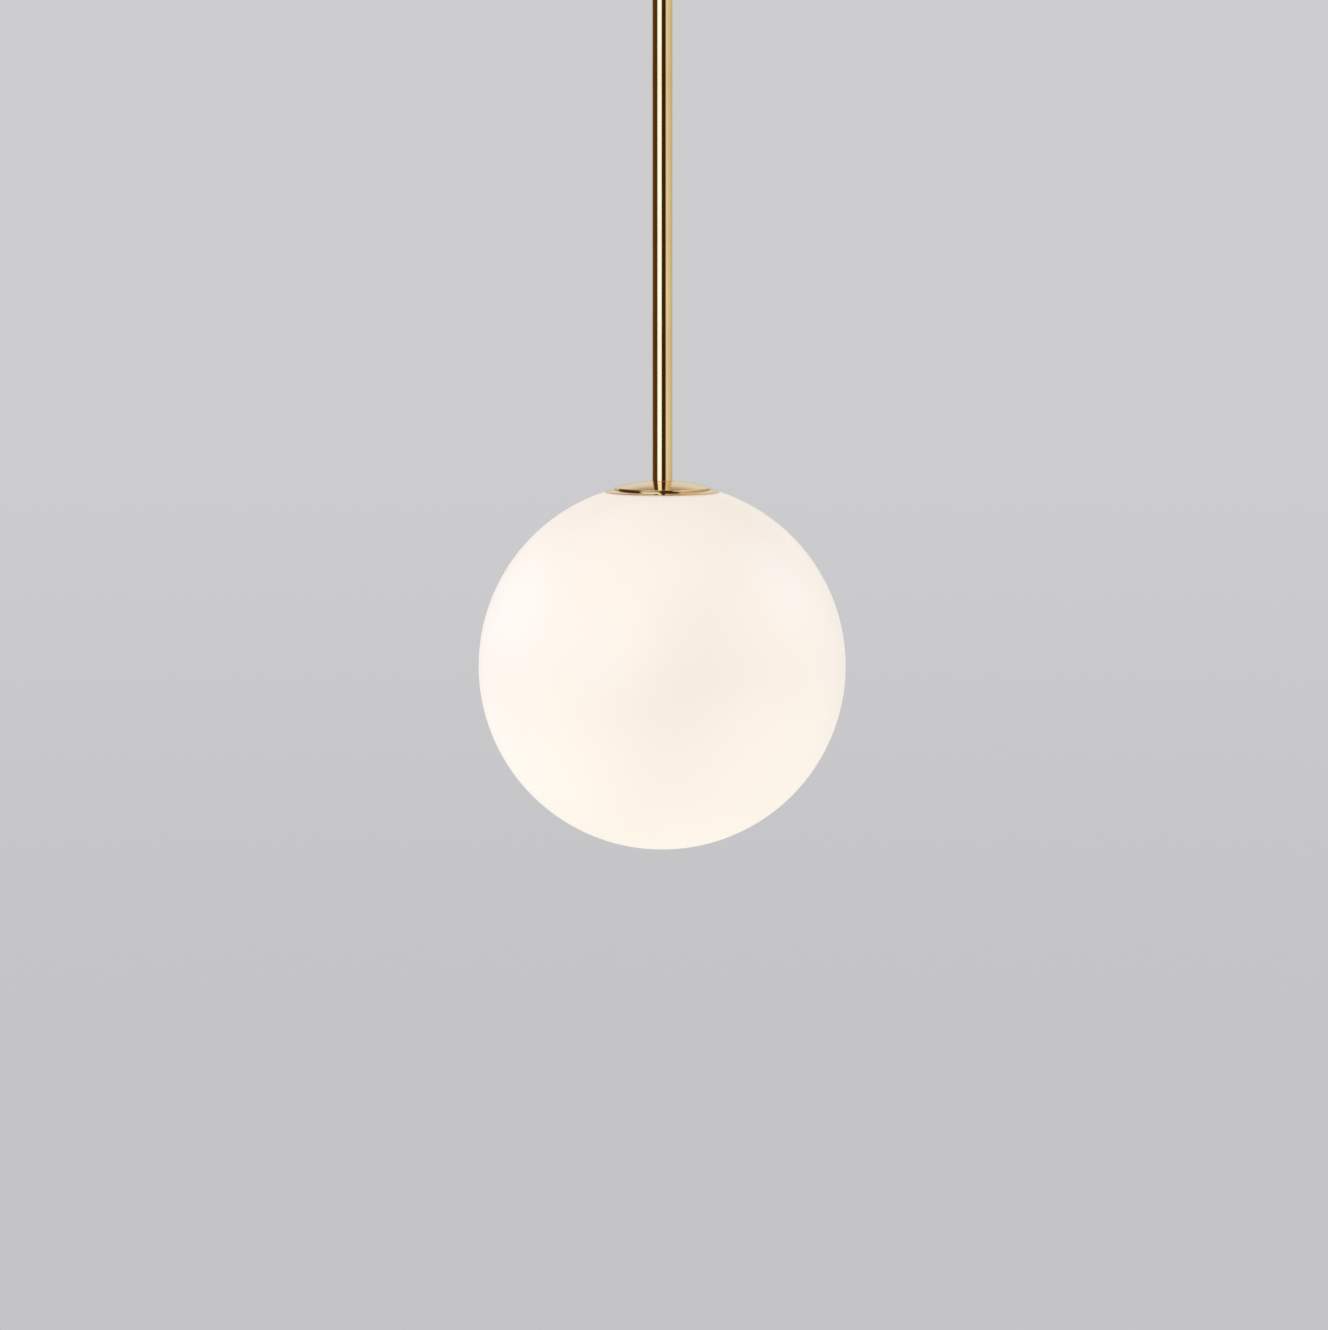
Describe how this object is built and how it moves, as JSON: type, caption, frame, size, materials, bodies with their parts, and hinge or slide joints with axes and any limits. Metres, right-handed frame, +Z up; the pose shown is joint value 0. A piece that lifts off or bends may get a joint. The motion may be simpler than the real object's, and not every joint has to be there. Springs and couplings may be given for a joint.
{
  "type": "pendant ceiling light",
  "caption": "Round opal glass globe hanging from a straight polished brass stem with a shallow domed cap, hung from a cardan joint inside a round ceiling canopy.",
  "frame": {"origin": "centre of the mounting plate's top face, in the plane of the ceiling", "axes": "+Z up into the ceiling, so the light hangs along -Z; +X along the line of the two ceiling screw slots; the viewer's side is -Y"},
  "size_m": [0.23, 0.2298, 0.6563],
  "materials": {
    "polished_brass": "polished, lacquered",
    "plain_brass": "machined",
    "opal_glass": "opal, gloss, lit from inside",
    "zinc_plated_steel": "bright zinc plated",
    "cast_zinc": "die cast, tumbled",
    "pin_steel": "ground",
    "spring_steel": "tempered, satin",
    "black_fibre": "matte",
    "silicone": "translucent, matte",
    "black_rubber": "moulded",
    "white_nylon": "moulded",
    "white_ceramic": "glazed",
    "live_insulation": "extruded",
    "neutral_insulation": "extruded",
    "earth_insulation": "extruded, yellow stripe",
    "lamp_metal": "nickel plated",
    "black_glass": "vitreous",
    "lamp_plastic": "moulded",
    "lamp_diffuser": "opal, lit"
  },
  "bodies": {
    "ceiling_mount": {"mounting_plate": "zinc_plated_steel", "canopy_cover": "polished_brass", "canopy_screws": "polished_brass", "cable_grommet": "black_rubber", "swivel_yoke": "cast_zinc", "yoke_screws": "zinc_plated_steel", "terminal_block": "white_nylon", "terminal_sleeves": "plain_brass", "terminal_screws": "zinc_plated_steel", "terminal_fixings": "zinc_plated_steel", "earth_screw": "plain_brass", "earth_lug": "zinc_plated_steel", "earth_link": "earth_insulation", "live_wire_upper": "live_insulation", "neutral_wire_upper": "neutral_insulation", "earth_wire_upper": "earth_insulation"},
    "gimbal": {"gimbal_ring": "cast_zinc", "tilt_pins_x": "pin_steel", "tilt_pins_y": "pin_steel"},
    "stem": {"swivel_head": "cast_zinc", "swivel_ball": "polished_brass", "upper_nipple": "zinc_plated_steel", "stem_tube": "polished_brass", "lower_nipple": "zinc_plated_steel", "cap_dome": "polished_brass", "cap_washer": "black_fibre", "gallery_ring": "polished_brass", "glass_gasket": "silicone", "gallery_plate": "zinc_plated_steel", "lock_washer": "zinc_plated_steel", "lock_nut": "zinc_plated_steel", "retaining_springs": "spring_steel", "spring_rivets": "pin_steel", "holder_cap": "zinc_plated_steel", "holder_insert": "white_ceramic", "holder_terminals": "plain_brass", "holder_shell": "plain_brass", "holder_skirt": "white_ceramic", "centre_contact": "plain_brass", "live_wire_lower": "live_insulation", "neutral_wire_lower": "neutral_insulation", "earth_wire_lower": "earth_insulation"},
    "globe": {"glass_globe": "opal_glass"},
    "lamp": {"lamp_contact": "lamp_metal", "lamp_insulator": "black_glass", "lamp_cap": "lamp_metal", "lamp_housing": "lamp_plastic", "led_board": "lamp_plastic", "lamp_bulb": "lamp_diffuser"}
  },
  "joints": [
    {"name": "swing_front_back", "type": "hinge", "parent": "ceiling_mount", "child": "gimbal", "pos_m": [0, 0, -0.017], "axis": [1, 0, 0], "range_deg": [-15, 15]},
    {"name": "swing_side", "type": "hinge", "parent": "gimbal", "child": "stem", "pos_m": [0, 0, -0.017], "axis": [0, 1, 0], "range_deg": [-15, 15]},
    {"name": "globe_drop", "type": "slide", "parent": "stem", "child": "globe", "axis": [0, 0, -1], "range_m": [0, 0.15], "deforming": ["retaining_springs"]},
    {"name": "lamp_out", "type": "slide", "parent": "stem", "child": "lamp", "axis": [0, 0, -1], "range_m": [0, 0.025]}
  ]
}
